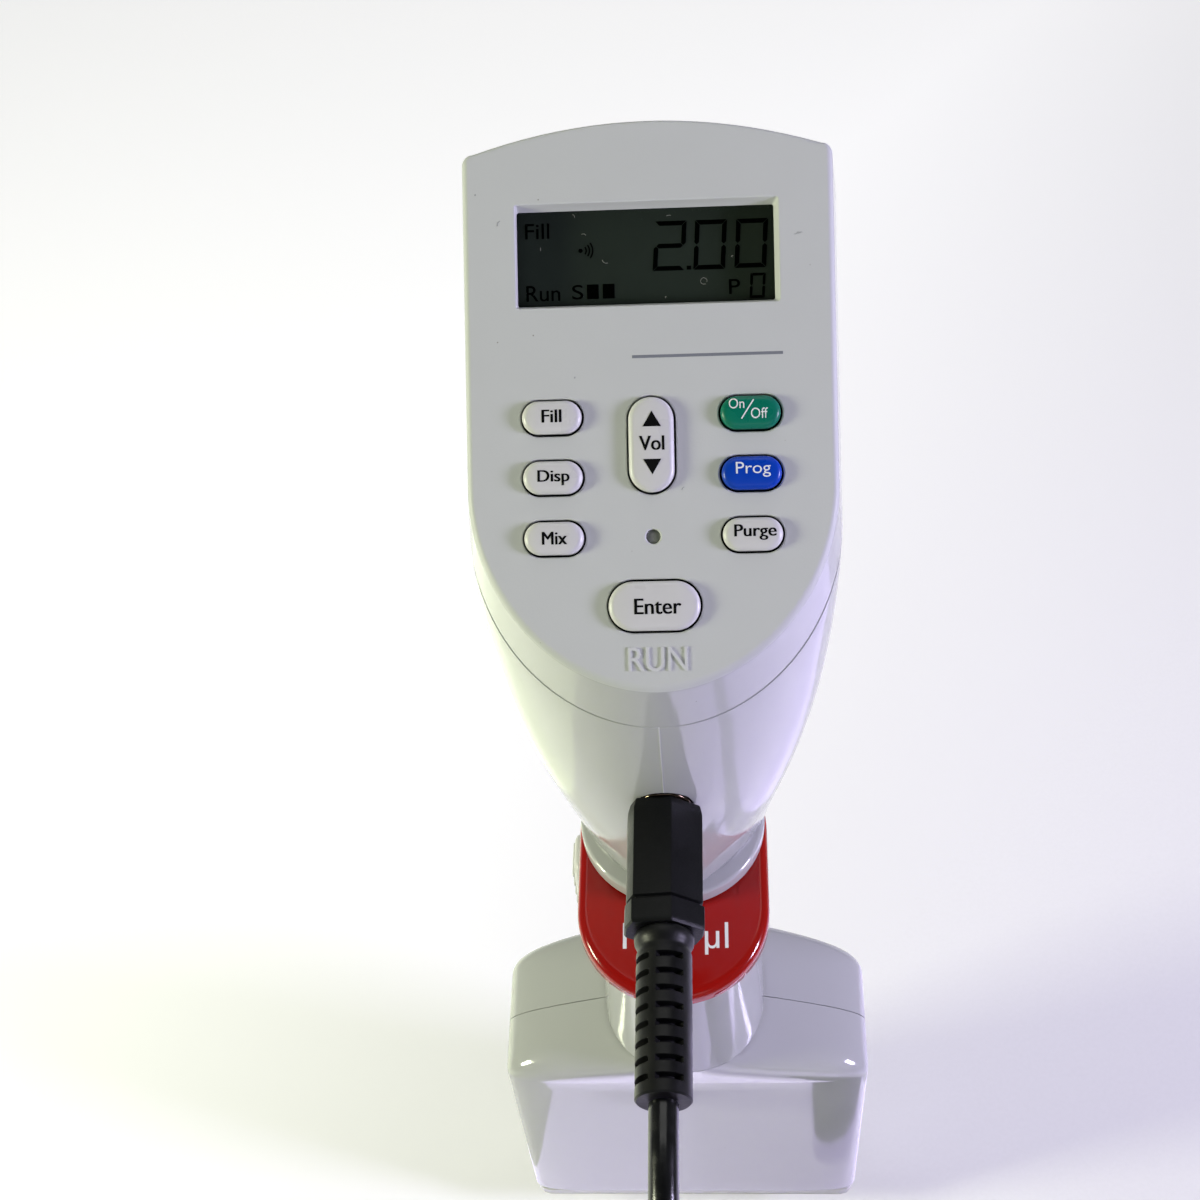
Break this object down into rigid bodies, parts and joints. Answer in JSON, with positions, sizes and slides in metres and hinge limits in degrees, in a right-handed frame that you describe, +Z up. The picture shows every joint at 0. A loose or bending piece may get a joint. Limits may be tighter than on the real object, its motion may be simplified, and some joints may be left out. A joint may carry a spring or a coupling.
{
  "type": "electronic multichannel pipette",
  "caption": "Hand-held electronic multichannel pipette with a tilted display and keypad head, finger hook, grip, nozzle manifold and a charging lead.",
  "frame": {"origin": "middle of the finger hook's flat rest face, where the instrument hangs on the hand", "axes": "+Z up along the handle, -Y towards the user's view of the display, +X to the right of the display"},
  "size_m": [0.1333, 0.1913, 0.321],
  "materials": {
    "cover_plastic": "satin, very finely textured",
    "body_plastic": "glossy moulded",
    "key_white": "semi-gloss",
    "key_green": "semi-gloss",
    "key_blue": "semi-gloss",
    "hook_plastic": "glossy moulded",
    "window_clear": "polished clear",
    "display_grey": "dark display, satin",
    "light_clear": "smoked clear",
    "mat_rubber": "matt",
    "board_green": "solder mask",
    "cell_wrap": "shrink film",
    "black_plastic": "finely textured",
    "black_rubber": "satin",
    "steel": "turned",
    "channel_plastic": "satin moulded"
  },
  "bodies": {
    "casing": {"keypad_cover": "cover_plastic", "display_window": "window_clear", "display_module": "display_grey", "status_light": "light_clear", "keypad_mat": "mat_rubber", "circuit_board": "board_green", "battery_tray": "black_plastic", "battery_pack": "cell_wrap", "left_body_shell": "body_plastic", "right_body_shell": "body_plastic", "collar": "body_plastic", "finger_hook": "hook_plastic", "trigger_switch": "black_plastic", "charge_socket": "black_plastic", "socket_ring": "steel", "plug_body": "black_plastic", "strain_relief": "black_rubber", "charge_cord": "black_rubber", "cord_coil": "black_rubber", "wall_adapter": "black_plastic", "motor_housing": "steel", "motor_bracket": "steel", "cylinder_block": "channel_plastic", "seal_strip": "mat_rubber", "nozzle_1": "channel_plastic", "nozzle_2": "channel_plastic", "nozzle_3": "channel_plastic", "nozzle_4": "channel_plastic", "nozzle_5": "channel_plastic", "nozzle_6": "channel_plastic", "nozzle_7": "channel_plastic", "nozzle_8": "channel_plastic", "manifold_front_cover": "body_plastic", "manifold_rear_cover": "body_plastic", "cover_screw_left": "steel", "cover_screw_right": "steel", "ejector_spring": "steel"},
    "fill_key": {"key_fill": "key_white"},
    "dispense_key": {"key_dispense": "key_white"},
    "mix_key": {"key_mix": "key_white"},
    "volume_key": {"key_volume": "key_white"},
    "power_key": {"key_power": "key_green"},
    "program_key": {"key_program": "key_blue"},
    "purge_key": {"key_purge": "key_white"},
    "enter_key": {"key_enter": "key_white"},
    "trigger": {"run_trigger": "key_white"},
    "ejector": {"ejector_button": "key_white", "ejector_rod": "steel", "ejector_bar": "channel_plastic"},
    "rotor": {"motor_rotor": "steel"},
    "piston_group": {"lead_screw": "steel", "piston_carriage": "channel_plastic", "piston_1": "steel", "piston_2": "steel", "piston_3": "steel", "piston_4": "steel", "piston_5": "steel", "piston_6": "steel", "piston_7": "steel", "piston_8": "steel"}
  },
  "joints": [
    {"name": "fill_press", "type": "slide", "parent": "casing", "child": "fill_key", "axis": [0, 0.5878, -0.809], "range_m": [0, 0.0009], "stiffness_N_per_m": 400},
    {"name": "dispense_press", "type": "slide", "parent": "casing", "child": "dispense_key", "axis": [0, 0.5878, -0.809], "range_m": [0, 0.0009], "stiffness_N_per_m": 400},
    {"name": "mix_press", "type": "slide", "parent": "casing", "child": "mix_key", "axis": [0, 0.5878, -0.809], "range_m": [0, 0.0009], "stiffness_N_per_m": 400},
    {"name": "power_press", "type": "slide", "parent": "casing", "child": "power_key", "axis": [0, 0.5878, -0.809], "range_m": [0, 0.0009], "stiffness_N_per_m": 400},
    {"name": "program_press", "type": "slide", "parent": "casing", "child": "program_key", "axis": [0, 0.5878, -0.809], "range_m": [0, 0.0009], "stiffness_N_per_m": 400},
    {"name": "purge_press", "type": "slide", "parent": "casing", "child": "purge_key", "axis": [0, 0.5878, -0.809], "range_m": [0, 0.0009], "stiffness_N_per_m": 400},
    {"name": "enter_press", "type": "slide", "parent": "casing", "child": "enter_key", "axis": [0, 0.5878, -0.809], "range_m": [0, 0.0009], "stiffness_N_per_m": 400},
    {"name": "volume_rock", "type": "hinge", "parent": "casing", "child": "volume_key", "pos_m": [0, 0.04135, 0.10786], "axis": [1, 0, 0], "range_deg": [-4, 4], "stiffness_Nm_per_rad": 0.03},
    {"name": "trigger_pull", "type": "hinge", "parent": "casing", "child": "trigger", "pos_m": [0, 0.06536, 0.065], "axis": [-1, 0, 0], "range_deg": [0, 6], "stiffness_Nm_per_rad": 0.3},
    {"name": "ejector_slide", "type": "slide", "parent": "casing", "child": "ejector", "axis": [0, 0, -1], "range_m": [0, 0.009], "stiffness_N_per_m": 250, "springref_m": -0.004, "deforming": ["ejector_spring"]},
    {"name": "rotor_spin", "type": "hinge", "parent": "casing", "child": "rotor", "pos_m": [0, 0.025, -0.049], "axis": [0, 0, 1], "range_deg": [0, 2520]},
    {"name": "piston_slide", "type": "slide", "parent": "casing", "child": "piston_group", "axis": [0, 0, 1], "range_m": [0, 0.028]}
  ],
  "couplings": [
    {"joint": "rotor_spin", "follows": "piston_slide", "rad_per_m": 1570.8}
  ]
}
